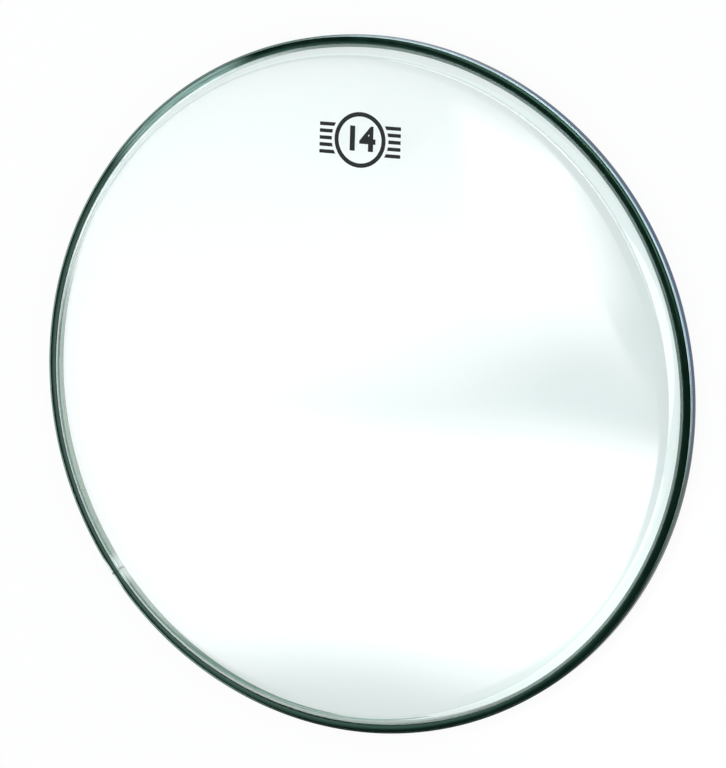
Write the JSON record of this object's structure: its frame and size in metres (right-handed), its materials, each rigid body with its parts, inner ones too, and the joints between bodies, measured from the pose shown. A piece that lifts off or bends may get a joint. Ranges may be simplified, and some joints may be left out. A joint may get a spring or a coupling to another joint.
{
  "type": "drum head",
  "caption": "Clear polyester drum head with a raised collar, its punched tail cast in dark resin inside a welded aluminium channel hoop that slips over a drum shell.",
  "frame": {"origin": "centre of the hoop in the plane of its bottom face, on which the head lies", "axes": "+Z along the drum's axis, out of the playing face; +Y towards the head's 12 o'clock mark; +X towards 3 o'clock"},
  "size_m": [0.3702, 0.3702, 0.015],
  "materials": {
    "hoop_aluminium": "mill finish channel, bent round and lightly brushed along its length",
    "weld_aluminium": "butt weld, ground low",
    "clear_polyester": "clear, glossy, heat-formed film",
    "dark_resin": "cast, glossy, black-green"
  },
  "bodies": {
    "root": {"channel_hoop": "hoop_aluminium", "butt_weld": "weld_aluminium", "clear_film": "clear_polyester", "cast_resin_ring": "dark_resin"}
  },
  "joints": []
}
